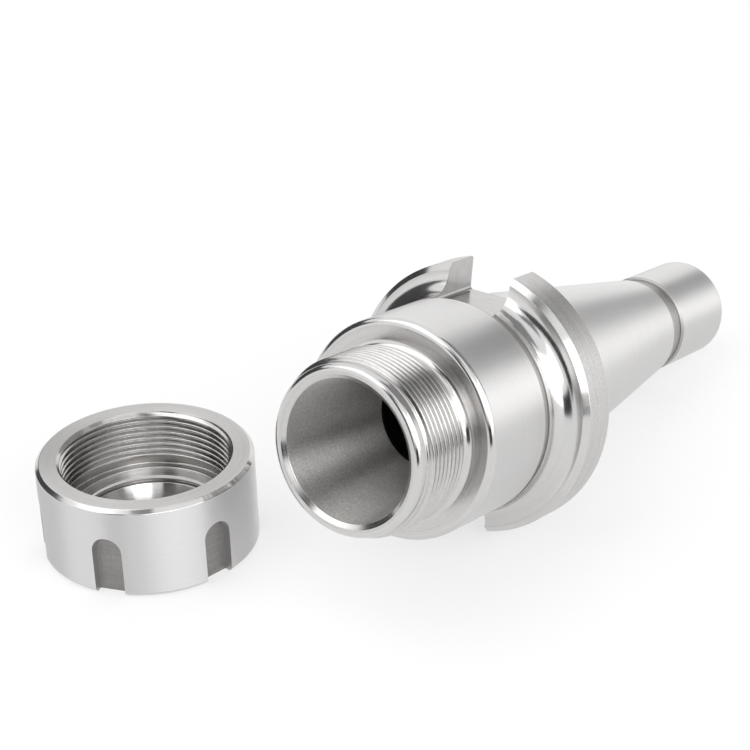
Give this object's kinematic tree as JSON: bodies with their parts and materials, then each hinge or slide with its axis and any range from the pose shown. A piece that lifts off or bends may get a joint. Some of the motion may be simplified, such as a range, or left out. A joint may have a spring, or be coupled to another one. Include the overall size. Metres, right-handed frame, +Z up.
{
  "type": "collet chuck holder",
  "caption": "Steep-taper collet chuck holder with a driving flange and threaded nose; its slotted clamping nut is off and stands beside it.",
  "frame": {"origin": "bottom centre of the bounding box: the surface on which the body lies and the nut stands", "axes": "+Z up; +X the heading of the body's nose, which points 10.8 degrees above it as the body lies; +Y to the left of that"},
  "size_m": [0.177, 0.1136, 0.0614],
  "materials": {
    "ground_steel": "ground, with polished fillets and edges",
    "nut_steel": "fine turned, with polished edges"
  },
  "bodies": {
    "root": {"holder_body": "ground_steel", "clamping_nut": "nut_steel"}
  },
  "joints": []
}
